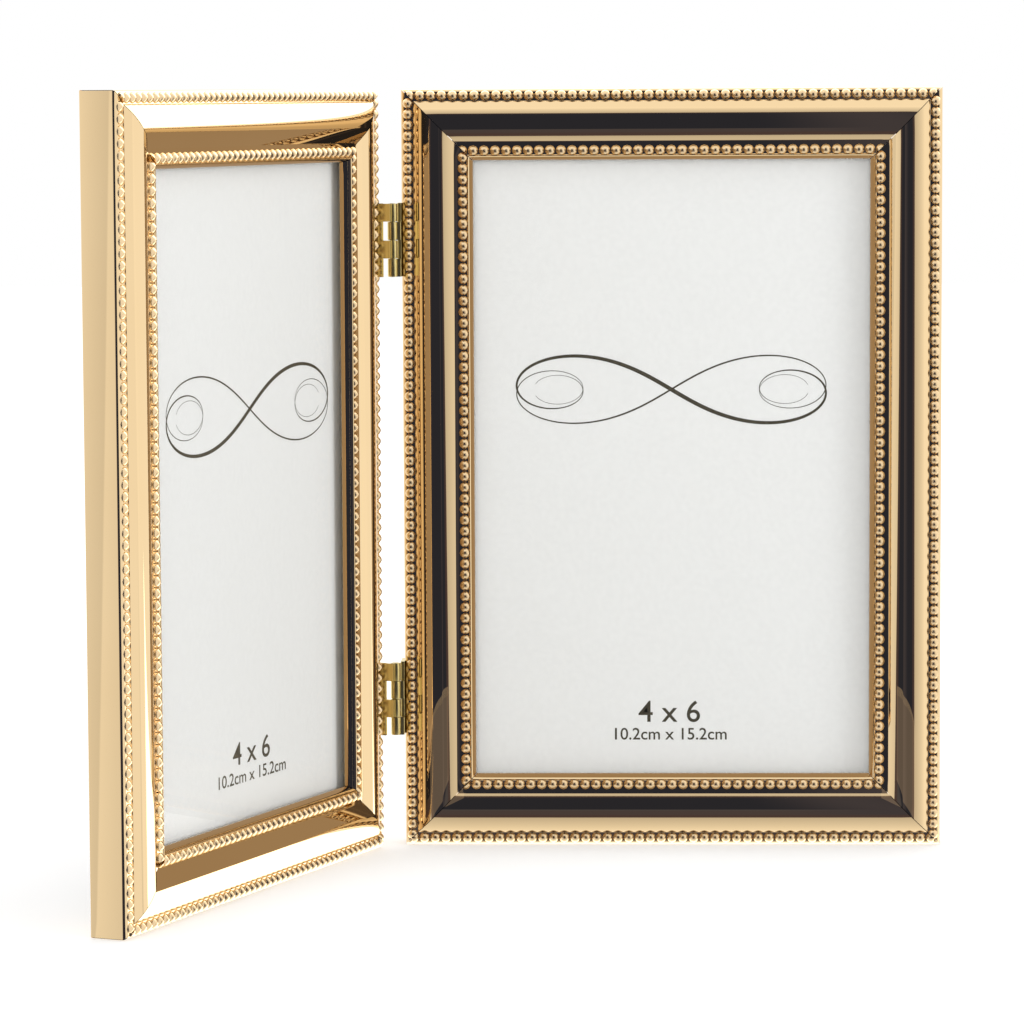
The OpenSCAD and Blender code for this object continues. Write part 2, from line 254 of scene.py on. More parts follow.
print("helpers ready for", len(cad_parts), "CAD nodes")

# %% [markdown]
# The plate is the same on the sheet and on the beads, but the press leaves the beads duller. The
# hinges, the rivets and the turn buttons are brass with a satin grain, each a little different, as
# parts from different makers are. The corner keys are zinc-plated steel.

# %% Mix the metals
GOLD = (0.80, 0.60, 0.345)
DULLED = (0.985, 0.975, 0.96)
PATCH_SCALE, TINT_SCALE, TINT_START, GRAIN_SCALE = 160, 35, 0.3, 900


def metal(name, colour, low_rough, high_rough, wave, wave_scale, grain=0.0):
    """A metal with its tint, a roughness that wanders between two values over patches of a few
    millimetres, a wide waviness of the sheet, and if asked a fine grain."""
    material, tree, shader = new_material(name)
    where = object_space(tree)
    shader.inputs["Metallic"].default_value = 1
    patches = noise(tree, where, PATCH_SCALE, 4)
    tree.links.new(between(tree, patches, low_rough, high_rough), shader.inputs["Roughness"])
    dulled = [c * share for c, share in zip(colour, DULLED)]
    tint = two_tones(tree, noise(tree, where, TINT_SCALE, 2), TINT_START, dulled, colour)
    tree.links.new(tint, shader.inputs["Base Color"])
    normals = bumped(tree, noise(tree, where, wave_scale, 1), wave)
    if grain:
        normals = bumped(tree, noise(tree, where, GRAIN_SCALE, 3), grain, normals)
    tree.links.new(normals, shader.inputs["Normal"])
    return material


gold_plate = metal("gold_plate", GOLD, 0.015, 0.04, 0.00002, 45)
beaded_gold = metal("beaded_gold", (0.82, 0.615, 0.365), 0.22, 0.29, 0.00001, 90)
hinge_brass = metal("hinge_brass", (0.77, 0.63, 0.27), 0.27, 0.33, 0.00001, 120, 0.000004)
rivet_brass = metal("rivet_brass", (0.72, 0.58, 0.26), 0.1, 0.2, 0.00001, 150, 0.000003)
button_brass = metal("button_brass", (0.76, 0.58, 0.27), 0.12, 0.26, 0.00001, 90, 0.000004)
key_steel = metal("key_steel", (0.62, 0.63, 0.65), 0.25, 0.45, 0.00002, 90, 0.00001)
metals = (gold_plate, beaded_gold, hinge_brass, rivet_brass, button_brass, key_steel)
print("metals:", [m.name for m in metals])

# %% [markdown]
# ## The moulding's section
# A press rolled the sheet into this outline: a flat outer wall, a rounded edge, a strip for the outer
# beads, a step, a dome that falls to the strip for the inner beads, and a rounded lip. The dome's two
# sides follow powers of the distance from the crest and are level where they meet there, so that the
# reflections slide smoothly over it. Each corner gets a small radius, because folded sheet has no
# knife edges and the radius catches light.

# %% Round the folds
FOLD_CORNER_R = 0.16


def rounded(points, radius, steps=3, most=0.45):
    """Rounds every marked corner of a closed outline. A corner is replaced by points of a parabola that
    leaves the two sides at the given distance from it, or at a share of a side that is too short for
    that. Rows are (u, d, share of the radius)."""
    points = np.asarray(points, float)
    out = []
    for k in range(len(points)):
        before, here, after = points[k - 1, :2], points[k, :2], points[(k + 1) % len(points), :2]
        reach = radius * points[k, 2]
        if reach == 0:
            out.append(here)
            continue
        a = here + (before - here) * min(most, reach / np.linalg.norm(before - here))
        b = here + (after - here) * min(most, reach / np.linalg.norm(after - here))
        for t in np.linspace(0, 1, steps + 1):
            out.append((1 - t) ** 2 * a + 2 * t * (1 - t) * here + t ** 2 * b)
    return np.array(out)


def arc(cu, cd, radius, start, stop, steps):
    """Points of a circle's arc, with no corner marked."""
    a = np.radians(np.linspace(start, stop, steps + 1))
    return [(cu + radius * math.cos(v), cd + radius * math.sin(v), 0) for v in a]


square = [(0, 0, 1), (9, 0, 1), (9, 9, 1), (0, 9, 1)]
print("a square with round corners has", len(rounded(square, 1)), "points")

# %% Work out the section


def dome(steps=26):
    """Both sides fall away from the crest with a power of the distance from it. The outer side's power is
    above 2, so it curves ever faster towards its foot. The inner side's is near 1, so it is almost a
    straight slope after a quick turn at the crest, where its points crowd together."""
    s = np.linspace(1, 0, steps + 1)
    outer_drop = CREST_D - STRIP_D - OUTER_STEP
    outer = np.stack([
        CREST_U - (CREST_U - STRIP_U) * s,
        CREST_D - outer_drop * s ** OUTER_POWER,
        0 * s,
    ], axis=1)
    t = np.linspace(0, 1, steps + 1)[1:] ** 2
    inner = np.stack([
        CREST_U + (INNER_U - CREST_U) * t,
        CREST_D - (CREST_D - INNER_D) * t ** INNER_POWER,
        0 * t,
    ], axis=1)
    outer[0, 2] = 1
    return outer.tolist() + inner.tolist()


def lip(steps=8):
    """A small step up from the inner strip, then a curve that falls ever faster towards the picture."""
    s = np.linspace(0, 1, steps + 1)
    curve = np.stack([LIP_U + LIP_W * s, INNER_D + LIP_RISE - LIP_FALL * s ** LIP_POWER, 0 * s], axis=1)
    curve[0, 2] = 1
    return [(LIP_U - LIP_FOOT_W, INNER_D, 1)] + curve.tolist()


section = rounded(
    [(0, 0, 1)]
    + arc(EDGE_R, WALL_D, EDGE_R, 180, 90, 8)
    + [(STRIP_U, STRIP_D, 1)]
    + dome()
    + lip()
    + [(MOULDING_W, LEDGE_D, 0.5), (RABBET_U, LEDGE_D, 0), (RABBET_U, 0, 1)],
    FOLD_CORNER_R,
)
print("section of", len(section), "points, crest at", section[:, 1].max().round(2), "mm")

# %% [markdown]
# ## Mouldings with their beads
# Four lengths of moulding are cut at 45 degrees to make a frame. A length is the section carried
# along a straight path: the further in a point lies, the shorter its path, which makes the mitre.
# The beads are pressed up from the same sheet, so they belong to the same mesh. A bead is a small
# round hill of a few dozen faces, and the beads at a corner are cut by the mitre. The press leaves
# the beads a little less smooth than the sheet round them, so they have a finish of their own.

# %% Carry the section along a side
STATIONS = (0, 0.02, 0.25, 0.5, 0.75, 0.98, 1)


def grid_faces(rows, around, closed=False):
    """The quads between neighbouring rows of a grid, each row a ring of the same number of points. A
    closed grid also joins its last row to its first."""
    i, j = np.meshgrid(np.arange(rows if closed else rows - 1), np.arange(around), indexing="ij")
    a, b = (i + 1) % rows, (j + 1) % around
    quads = np.stack([i * around + j, i * around + b, a * around + b, a * around + j], axis=2)
    return quads.reshape(-1, 4)


def sweep(length):
    """Points (u, d, s) of a length of moulding. A point of the section at distance u from the wall runs
    from s = u to s = length - u, less the seam at both ends, through a few stations."""
    t = np.array(STATIONS)[:, None]
    u, d = section.T
    near, far = u + SEAM, length - u - SEAM
    s = near + (far - near) * t
    grid = np.stack([np.broadcast_to(u, s.shape), np.broadcast_to(d, s.shape), s], axis=2)
    rows, around = s.shape
    ring = np.arange(around)
    caps = np.stack([ring[::-1], ring + (rows - 1) * around])
    return grid.reshape(-1, 3), grid_faces(rows, around), caps


print("a length of moulding has", len(sweep(LEAF_H)[1]), "faces before its beads")

# %% Shape a bead and a row of beads
CROWN_POWER, SIDE_POWER, BEAD_FOOT = 1.55, 0.72, 0.3


def bead(shares=(0.2, 0.48, 0.76, 0.94, 1, 1), around=10):
    """One bead of radius 1 and height 1 on the plane d = 0, as rings round a pole. It is a half ball with
    a slightly tighter crown: a ring's height is 1 less its radius to the crown's power, all to the
    side's power. The last ring is a foot below the strip."""
    share = np.array(shares, float)[:, None]
    angle = np.linspace(0, 2 * math.pi, around, endpoint=False)[None, :]
    rise = np.broadcast_to((1 - share ** CROWN_POWER) ** SIDE_POWER, (len(shares), around)).copy()
    rise[-1] = -BEAD_FOOT
    grid = np.stack([share * np.cos(angle), rise, share * np.sin(angle)], axis=2)
    points = np.concatenate([grid.reshape(-1, 3), [(0, 1, 0), (0, -BEAD_FOOT, 0)]])
    n = len(shares)
    ring = np.arange(around)
    after = (ring + 1) % around
    last = (n - 1) * around
    front = np.stack([ring * 0 + n * around, after, ring], axis=1)
    back = np.stack([ring * 0 + n * around + 1, last + ring, last + after], axis=1)
    return points, grid_faces(n, around), np.concatenate([front, back])


def bead_row(u, d, first, last, length):
    """A row of beads between two places of a side, spaced as near to the real pitch as fills the row.
    Points past a mitre are moved back onto it, which cuts the bead flat there."""
    points, quads, triangles = bead()
    count = round((last - first) / BEAD_PITCH) + 1
    centres = np.stack([np.full(count, u), np.full(count, d), np.linspace(first, last, count)], axis=1)
    size = np.array([BEAD_R, BEAD_H, BEAD_R])
    spread = (centres[:, None, :] + size * points[None, :, :]).reshape(-1, 3)
    spread[:, 2] = np.clip(spread[:, 2], spread[:, 0] + SEAM, length - spread[:, 0] - SEAM)
    shift = (np.arange(count) * len(points))[:, None, None]
    return spread, (quads[None] + shift).reshape(-1, 4), (triangles[None] + shift).reshape(-1, 3)


print("one bead has", len(bead()[1]) + len(bead()[2]), "faces")

# %% [markdown]
# Each side has its length, the way from (u, d, s) to the frame's own axes, and how far inside its two
# mitres the outer and the inner row of beads begin and end. The rails' rows reach into the corners,
# and the stiles' rows leave them that room. In each mesh the faces of the sheet come first, then
# those of the beads, then the two cut ends, so their numbers tell which ones get the beads' finish.

# %% Make the eight mouldings
SIDES = {
    "top_rail": (LEAF_W, lambda u, d, s: (s, d, LEAF_H - u), (0.25, 0.45), (-0.15, -0.1)),
    "bottom_rail": (LEAF_W, lambda u, d, s: (s, d, u), (0.25, 0.45), (-0.15, -0.1)),
    "hinge_stile": (LEAF_H, lambda u, d, s: (u, d, s), (0.75, 1.75), (0.9, 1.6)),
    "free_stile": (LEAF_H, lambda u, d, s: (LEAF_W - u, d, s), (0.75, 1.75), (0.9, 1.6)),
}
mouldings = {}
for side in ("right", "left"):
    for edge, (length, turned, outer_ends, inner_ends) in SIDES.items():
        points, quads, caps = sweep(length)
        rows = [
            bead_row(u, d, u + ends[0], length - u - ends[1], length)
            for u, d, ends in ((BEAD_U, STRIP_D, outer_ends), (INNER_BEAD_U, INNER_D, inner_ends))
        ]
        faces, triangles = [quads], []
        for row_points, row_quads, row_triangles in rows:
            faces.append(row_quads + len(points))
            triangles.append(row_triangles + len(points))
            points = np.concatenate([points, row_points])
        leaf_points = np.stack(turned(*points.T), axis=1)
        name = f"{side}_{edge}"
        mouldings[name] = build(
            f"{name}_plated", place(leaf_points, side),
            [np.concatenate(faces), np.concatenate(triangles), caps],
            f"{side}_frame", gold_plate,
        )
        mesh = mouldings[name].data
        mesh.materials.append(beaded_gold)
        index = np.ones(len(mesh.polygons), int)
        index[: len(quads)] = 0
        index[-len(caps):] = 0
        mesh.polygons.foreach_set("material_index", index)
        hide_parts(name)
print("mouldings:", {n: len(o.data.polygons) for n, o in mouldings.items()})

# %% [markdown]
# ## Hinges
# A hinge half is a flat plate on the frame's side wall with two knuckles that stand out in front of
# it, each held by a lug and a short web. The knuckles are turned rings with softened ends, so that a
# fine dark line shows where two of them meet, as on the real hinge. They leave the pin's hole free.

# %% Shape the parts of a hinge half
GAP, SOFT, SOFT_SHARE = 0.13, 0.09, 0.3


def block(x_span, d_span, z_span, soft):
    """A box whose long edges are cut off at 45 degrees by the given amount."""
    (x0, x1), (d0, d1), (z0, z1) = x_span, d_span, z_span
    ring = np.array([
        (x0 + soft, d0), (x1 - soft, d0), (x1, d0 + soft), (x1, d1 - soft),
        (x1 - soft, d1), (x0 + soft, d1), (x0, d1 - soft), (x0, d0 + soft)])
    points = np.concatenate([np.column_stack([ring, np.full(8, z)]) for z in (z0, z1)])
    k = np.arange(8)
    sides = np.stack([k, (k + 1) % 8, (k + 1) % 8 + 8, k + 8], axis=1)
    return outward(points, [sides, np.array([k[::-1], k + 8])])


def knuckle(z0, z1, around=48):
    """A ring round the hinge axis: its profile of (radius, z) corners, softened at both outer ends, is
    turned about the axis through equal angles."""
    bevel = SOFT_SHARE * SOFT
    profile = np.array([
        (PIN_HOLE_R, z0), (KNUCKLE_R - SOFT, z0), (KNUCKLE_R - bevel, z0 + bevel), (KNUCKLE_R, z0 + SOFT),
        (KNUCKLE_R, z1 - SOFT), (KNUCKLE_R - bevel, z1 - bevel), (KNUCKLE_R - SOFT, z1), (PIN_HOLE_R, z1),
    ])
    angle = np.linspace(0, 2 * math.pi, around, endpoint=False)[:, None]
    radius, z = profile.T
    grid = np.stack([
        -AXIS_OUT + radius * np.cos(angle),
        AXIS_D + radius * np.sin(angle),
        np.broadcast_to(z, (around, len(z))),
    ], axis=2)
    return outward(grid.reshape(-1, 3), [grid_faces(around, len(z), closed=True)])


def join(parts):
    """Puts several closed parts into one list of points and faces."""
    points, polygons, count = [], [], 0
    for part_points, part_polygons in parts:
        polygons += [f + count for f in part_polygons]
        points.append(part_points)
        count += len(part_points)
    return np.concatenate(points), polygons


print("one knuckle has", len(knuckle(0, HINGE_H / KNUCKLES)[1][0]), "faces")

# %% Make the four hinge halves
PLATE_SINK, PLATE_SOFT, WEB_T, WEB_SOFT, WEB_OUT, LUG_LAP = 0.1, 0.12, 0.8, 0.1, 0.75, 0.3
step = HINGE_H / KNUCKLES
plate_x = (-PLATE_T - PLATE_SINK, 0)
web_d = (AXIS_D - WEB_T / 2, AXIS_D + WEB_T / 2)
for which, low_z in (("lower", HINGE_INSET), ("upper", LEAF_H - HINGE_INSET - HINGE_H)):
    for side, first in (("right", 0), ("left", 1)):
        parts = [block(plate_x, (PLATE_BACK, PLATE_FRONT), (low_z, low_z + HINGE_H), PLATE_SOFT)]
        for k in range(first, KNUCKLES, 2):
            height = (low_z + k * step + GAP / 2, low_z + (k + 1) * step - GAP / 2)
            parts.append(knuckle(*height))
            parts.append(block((-AXIS_OUT + WEB_OUT, 0), web_d, height, WEB_SOFT))
            parts.append(block(plate_x, (PLATE_FRONT - LUG_LAP, AXIS_D), height, WEB_SOFT))
        leaf_points, polygons = join(parts)
        name = f"{which}_hinge_{side}_plate"
        half = build(
            f"{name}_pressed", place(leaf_points, side), polygons,
            f"{side}_frame", hinge_brass,
        )
        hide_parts(name)
print("hinge knuckles are", round(step - GAP, 2), "mm long")

# %% [markdown]
# ## Glass and the papers behind it
# The glass is clear and thin. A full glass shader would bend every ray twice and slow the render, so
# this one lets rays straight through and mirrors a little, more at a glancing angle.

# %% Mix the glass
SLANT_START, SLANT_END, LEAST_SHINE = 0.56, 0.9, 0.03


def glass_material():
    """Lets light straight through with a trace of colour, and reflects more and more at a slant. Only
    the faces that a ray meets from outside reflect."""
    material, tree, shader = new_material("clear_glass")
    tree.nodes.remove(shader)
    through = node(tree, "ShaderNodeBsdfTransparent", {"Color": (0.988, 0.990, 0.985, 1)})
    mirror = node(tree, "ShaderNodeBsdfGlossy", {"Color": (1, 1, 1, 1), "Roughness": 0.01})
    slant = node(tree, "ShaderNodeLayerWeight", {"Blend": 0.5}).outputs["Facing"]
    edge = ramp_up(tree, slant, SLANT_START, SLANT_END, LEAST_SHINE, 1.0)
    inside = node(tree, "ShaderNodeNewGeometry").outputs["Backfacing"]
    share = calc(tree, "MULTIPLY", edge, calc(tree, "SUBTRACT", 1.0, inside))
    mix = node(tree, "ShaderNodeMixShader", {0: share, 1: through.outputs[0], 2: mirror.outputs[0]})
    surface(tree, mix)
    return material


clear_glass = glass_material()
print("made", clear_glass.name)

# %% [markdown]
# Behind the glass lie dull things: the coated paper of the printed card, grey filler board and a
# backing board covered with black velvet, whose short pile glows a little at the edges. One recipe
# serves them all, and the ink too: a fine cloudy pattern drives both the colour and the height.

# %% Mix the papers, the velvet and the ink
TONE_START, DULL_SHINE, PILE_ROUGHNESS = 0.35, 0.3, 0.4


def matte(name, low, high, scale, roughness, depth, sheen=0.0):
    """A dull surface whose colour drifts between two tones and whose height follows the same pattern."""
    material, tree, shader = new_material(name)
    pattern = noise(tree, object_space(tree), scale, 6)
    tree.links.new(two_tones(tree, pattern, TONE_START, low, high), shader.inputs["Base Color"])
    tree.links.new(bumped(tree, pattern, depth), shader.inputs["Normal"])
    shader.inputs["Roughness"].default_value = roughness
    shader.inputs["Specular IOR Level"].default_value = DULL_SHINE
    if sheen:
        shader.inputs["Sheen Weight"].default_value = sheen
        shader.inputs["Sheen Roughness"].default_value = PILE_ROUGHNESS
    return material


card_paper = matte("card_paper", (0.775, 0.775, 0.775), (0.80, 0.80, 0.80), 900, 0.6, 0.000002)
grey_board = matte("grey_board", (0.30, 0.27, 0.24), (0.38, 0.35, 0.31), 1500, 0.9, 0.00002)
velvet = matte("black_velvet", (0.008, 0.008, 0.009), (0.022, 0.021, 0.024), 2600, 0.95, 0.00006, 0.6)
ink = matte("card_ink", (0.055, 0.047, 0.03), (0.075, 0.065, 0.045), 1200, 0.5, 0.000001)
print("dull finishes:", [m.name for m in (card_paper, grey_board, velvet, ink)])

# %% [markdown]
# ## The CAD pieces put on their finishes
# Its name starts with the frame or the hinge that it belongs to, so the words after the first
# underscore pick the finish.

# %% Give every CAD node its finish
FINISH = {
    "glass": clear_glass, "photo_card": card_paper, "filler_card": grey_board, "backing_board": velvet,
    "corner_keys": key_steel, "turn_button_rivets": rivet_brass, "hinge_rivets": rivet_brass,
    "turn_button_top": button_brass, "turn_button_bottom": button_brass,
    "turn_button_hinge_side": button_brass, "turn_button_free_side": button_brass,
    "hinge_right_plate": hinge_brass, "hinge_left_plate": hinge_brass, "hinge_pin": hinge_brass,
    "top_rail": gold_plate, "bottom_rail": gold_plate, "hinge_stile": gold_plate, "free_stile": gold_plate,
}
for name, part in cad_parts.items():
    finish = FINISH[name.split("_", 1)[1]]
    part.data.materials.clear()
    part.data.materials.append(finish)
print("finished CAD nodes:", len(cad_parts))

# %% [markdown]
# ## The print on the cards
# The cards state the picture's size near their lower edge. The figures start as Blender text, which
# is turned into a thin mesh and laid on the card's face, a hair in front of it. Higher up stands a
# plain pen flourish, two crossing scrolls worked out from one formula.

# %% Ink a thin mesh
CARD_FACE, INK_LIFT = LEDGE_D - GLASS_T - 2 * STACK_GAP, 0.02
facing = {}
for side in ("right", "left"):
    back, front = place([(0, 0, 0), (0, 1, 0)], side)
    facing[side] = Vector(front - back)


def inked(name, mesh, side):
    """Makes a flat mesh into print on a frame's card. Its faces are turned to the front first."""
    if mesh.polygons[0].normal.dot(facing[side]) < 0:
        mesh.flip_normals()
    mesh.materials.clear()
    mesh.materials.append(ink)
    piece = bpy.data.objects.new(name, mesh)
    bpy.context.scene.collection.objects.link(piece)
    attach(piece, f"{side}_frame")
    return piece


print("the left card faces", [round(v, 2) for v in facing["left"].normalized()])

# %% [markdown]
# Each of the two lines is centred near the middle of the card. On the left card they are set wider
# and a little nearer to the hinge. Blender's own font has plain round figures much like the real ones.

# %% Print the size
CAPITAL_SHARE = 0.7
LINES = {
    "inches": {"words": "4 x 6", "height": 5.0, "base_z": 28.4, "bold": 0.005},
    "centimetres": {"words": "10.2cm x 15.2cm", "height": 2.75, "base_z": 24.2, "bold": 0.008},
}
MIDDLE = {"right": LEAF_W / 2 - 0.6, "left": LEAF_W / 2 - 3.3}
WIDER = {"right": 1.0, "left": 1.25}


def printed(name, side, words, height, base_z, bold):
    """Sets a line of figures as flat faces, in mm: it is centred on its side's MIDDLE, its capitals are
    as tall as height, and its base line is base_z above the frame's foot."""
    curve = bpy.data.curves.new(name, "FONT")
    curve.body = words
    curve.align_x = "CENTER"
    curve.offset = bold
    text = bpy.data.objects.new(name, curve)
    bpy.context.scene.collection.objects.link(text)
    bpy.context.view_layer.update()
    mesh = bpy.data.meshes.new_from_object(text.evaluated_get(bpy.context.evaluated_depsgraph_get()))
    bpy.data.objects.remove(text)
    flat = np.empty(len(mesh.vertices) * 3, np.float32)
    mesh.vertices.foreach_get("co", flat)
    flat = flat.reshape(-1, 3).astype(float)
    scale = height / CAPITAL_SHARE
    across = -1 if side == "left" else 1
    leaf = np.stack([
        MIDDLE[side] + across * flat[:, 0] * scale * WIDER[side],
        np.full(len(flat), CARD_FACE + INK_LIFT),
        base_z + flat[:, 1] * scale,
    ], axis=1)
    mesh.vertices.foreach_set("co", place(leaf, side).astype(np.float32).ravel())
    mesh.update()
    return inked(name, mesh, side)


for side in ("right", "left"):
    for unit, line in LINES.items():
        mark = printed(f"{side}_card_{unit}", side, **line)
        print(mark.name, "has", len(mark.data.polygons), "faces")

# %% [markdown]
# A pen that bends its stroke evenly more and more draws a clothoid, a spiral that rolls up at both
# ends. One such stroke, broad in the middle, and its finer mirror image cross each other on the card.
# They are flat ribbons, because ink has no thickness to speak of.

# %% Draw the flourish
HAIRLINE, STROKE_LIFT, FLOURISH_Z = 0.1, 0.004, 106.5


def scroll(width, turn_end=2.3, steps=280, squash=0.6):
    """A curve whose bend grows evenly from its middle to both ends, so each end rolls up: its direction at
    length t is pi t^2 / 2. The points are summed up step by step, turned by 45 degrees so that the two
    rolled ends lie level, scaled to the width and pressed flatter. Gives the points, their normals and
    how far along the curve they lie, from -1 to 1."""
    t = np.linspace(-turn_end, turn_end, steps)
    direction = math.pi / 2 * t ** 2 - math.pi / 4
    line = np.cumsum(np.stack([np.cos(direction), np.sin(direction)], axis=1), axis=0)
    line -= line.mean(axis=0)
    line *= width / np.ptp(line[:, 0]) * np.array([1, squash])
    along = np.gradient(line, axis=0)
    along /= np.linalg.norm(along, axis=1)[:, None]
    return line, np.stack([-along[:, 1], along[:, 0]], axis=1), t / turn_end


def flourish(side, centre_x, width):
    """Two scrolls, one the mirror image of the other and finer, drawn as flat ribbons. A ribbon's width
    is a hairline at its ends and swells with the squared cosine towards its middle, like a pen line."""
    line, normal, share = scroll(width)
    points, polygons = [], []
    n = len(line)
    k = np.arange(n - 1)
    quads = np.stack([k, k + 1, k + 1 + n, k + n], axis=1)
    for flip, swell, lift in ((1, 0.85, STROKE_LIFT), (-1, 0.3, 0)):
        off = normal * (HAIRLINE + swell * np.cos(share * math.pi / 2)[:, None] ** 2) / 2
        edges = np.concatenate([line + off, line - off]) * (1, flip)
        polygons.append(quads[:, ::flip] + 2 * n * len(points))
        points.append(np.stack([
            centre_x + edges[:, 0],
            np.full(2 * n, CARD_FACE + INK_LIFT + lift),
            FLOURISH_Z + edges[:, 1],
        ], axis=1))
    mesh = bpy.data.meshes.new(f"{side}_card_flourish")
    mesh.from_pydata(place(np.concatenate(points), side).tolist(), [], np.concatenate(polygons).tolist())
    return inked(mesh.name, mesh, side)


for side, middle, width in (("right", LEAF_W / 2, 72.0), ("left", LEAF_W / 2 - 4, 78.0)):
    mark = flourish(side, middle, width)
    print(mark.name, "has", len(mark.data.polygons), "faces")

# %% [markdown]
# ## Floor, light and surroundings
# The object stands on a white floor in even light. Metal needs something to reflect: bright cards all
# round, and the dark end of the studio where the photographer stands, which draws the dark bands on
# the crests. The cards are painted by node arithmetic, with soft-edged windows and blends of colours,
# so the helpers for those come first.

# %% Helpers for painting with nodes


def window(tree, value, low, high, soft):
    """1 between low and high, 0 outside them, and smooth over a stretch of soft on both sides of each."""
    up = ramp_up(tree, value, low - soft, low + soft)
    down = ramp_up(tree, value, high + soft, high - soft)
    return calc(tree, "MULTIPLY", up, down)


def outside_of(tree, value, low, high):
    """How far a value lies outside a span, negative inside it."""
    return calc(tree, "MAXIMUM", calc(tree, "SUBTRACT", low, value), calc(tree, "SUBTRACT", value, high))


def blend(tree, share, first, second):
    """Mixes two colours, or a colour and a grey that is given as one value."""
    mix = node(tree, "ShaderNodeMix", {0: share}, data_type="RGBA")
    for socket, colour in zip((mix.inputs[6], mix.inputs[7]), (first, second)):
        if isinstance(colour, bpy.types.NodeSocket):
            tree.links.new(colour, socket)
        else:
            socket.default_value = (*colour, 1)
    return mix.outputs[2]


print("painting helpers ready")

# %% [markdown]
# The floor is white paper. To the camera it also glows a little, more the further it is from the
# frames, so that it ends as white as the air behind it and keeps only the soft contact shadow. It
# isn't seen in reflections, because the metal shows the white world there all the same.

# %% Lay the floor
FLOOR_HALF, FLOOR_DROP, FLOOR_WHITE = 3, 0.0002, 0.8
GLOW_START, GLOW_END, GLOW_NEAR, GLOW_FAR = 0.12, 0.5, 0.36, 0.62
floor_mesh = bpy.data.meshes.new("floor")
floor_corners = [(FLOOR_HALF * x, FLOOR_HALF * y, 0) for x, y in ((-1, -1), (1, -1), (1, 1), (-1, 1))]
floor_mesh.from_pydata(floor_corners, [], [(0, 1, 2, 3)])
floor = bpy.data.objects.new("floor", floor_mesh)
floor.location.z = -FLOOR_DROP
bpy.context.scene.collection.objects.link(floor)
floor.visible_glossy = False
floor_material, tree, shader = new_material("white_floor")
shader.inputs["Base Color"].default_value = (FLOOR_WHITE, FLOOR_WHITE, FLOOR_WHITE, 1)
shader.inputs["Roughness"].default_value = 1
shader.inputs["Specular IOR Level"].default_value = 0
away = node(tree, "ShaderNodeVectorMath", {0: object_space(tree)}, operation="LENGTH").outputs["Value"]
fill = ramp_up(tree, away, GLOW_START, GLOW_END, GLOW_NEAR, GLOW_FAR)
to_camera = node(tree, "ShaderNodeLightPath").outputs["Is Camera Ray"]
shine = calc(tree, "MULTIPLY", to_camera, fill)
glow = node(tree, "ShaderNodeEmission", {"Color": (1, 1, 1, 1), "Strength": shine})
surface(tree, node(tree, "ShaderNodeAddShader", {0: shader.outputs[0], 1: glow.outputs[0]}))
floor_mesh.materials.append(floor_material)
print("floor of", 2 * FLOOR_HALF, "m laid")

# %% [markdown]
# The world gives each kind of ray what it needs: white to the camera, a little more than white to
# reflections, so that the metal's lit faces come out bright, and an even grey-white to dull surfaces.

# %% Light the room
CAMERA_WHITE, DULL_LIGHT, MIRROR_LIGHT = 1.0, 0.75, 1.18
world = bpy.data.worlds.new("studio")
bpy.context.scene.world = world
world.use_nodes = True
tree = world.node_tree
path = node(tree, "ShaderNodeLightPath")
shiny = calc(tree, "MAXIMUM", path.outputs["Is Glossy Ray"], path.outputs["Is Transmission Ray"])
plain = between(tree, path.outputs["Is Camera Ray"], DULL_LIGHT, CAMERA_WHITE)
background = tree.nodes["Background"]
background.inputs["Color"].default_value = (1, 1, 1, 1)
tree.links.new(between(tree, shiny, plain, MIRROR_LIGHT), background.inputs["Strength"])
print("the world shines", MIRROR_LIGHT, "in mirrors and", DULL_LIGHT, "on paper")

# %% [markdown]
# ## The pale card with its dark opening
# The frames face the dark end of the room through a wide opening in a pale card, which leans away
# from them. The opening draws the dark bands on the domes, and the card, brighter the further it is
# from the opening, draws the gold ones. It is seen in reflections only.

# %% Helpers for cards


def rectangle(a_span, b_span):
    """The four corners (a, b) of a rectangle, from the lower ends of both spans along a first."""
    (a0, a1), (b0, b1) = a_span, b_span
    return [(a0, b0), (a1, b0), (a1, b1), (a0, b1)]


def reflected_card(name, corners):
    """A flat card that only reflections see, given with its material's tree, where its shader is still
    to be made."""
    mesh = bpy.data.meshes.new(name)
    mesh.from_pydata(corners, [], [tuple(range(len(corners)))])
    card = bpy.data.objects.new(name, mesh)
    bpy.context.scene.collection.objects.link(card)
    card.visible_camera = card.visible_diffuse = False
    card.visible_shadow = card.visible_transmission = False
    material, tree, shader = new_material(name)
    tree.nodes.remove(shader)
    mesh.materials.append(material)
    return card, tree


print("a rectangle's corners:", rectangle((0, 2), (0, 1)))

# %% [markdown]
# The card stands on nothing: two points of its middle line, given as (y, z), say where it is and how
# far it leans. Its own x runs across it and its own z runs up along it from the lower of the two.

# %% Stand up the pale card
CARD_X, CARD_S = (-1.2, 1.2), (-0.5, 1.2)
CARD_FOOT, CARD_HIGH = (-0.2014, -0.114), (-0.39, 0.439)
LEAN = math.atan2(CARD_FOOT[0] - CARD_HIGH[0], CARD_HIGH[1] - CARD_FOOT[1])
pale_card, tree = reflected_card("pale_card", [(x, 0, z) for z, x in rectangle(CARD_S, CARD_X)])
pale_card.matrix_world = Matrix.Translation((0, *CARD_FOOT)) @ Matrix.Rotation(LEAN, 4, "X")
spot = node(tree, "ShaderNodeSeparateXYZ", {0: object_space(tree)})
across, up = spot.outputs[0], spot.outputs[2]
print("pale card leans", round(math.degrees(LEAN), 1), "degrees")

# %% [markdown]
# The card's grey rises with a power of the distance from the opening, and is a step brighter in a
# strip beside the opening's left edge. Inside the opening the dark is bluish. It is paler below a
# thin line near its foot, in an upright stripe right of the middle, and all round its rim.

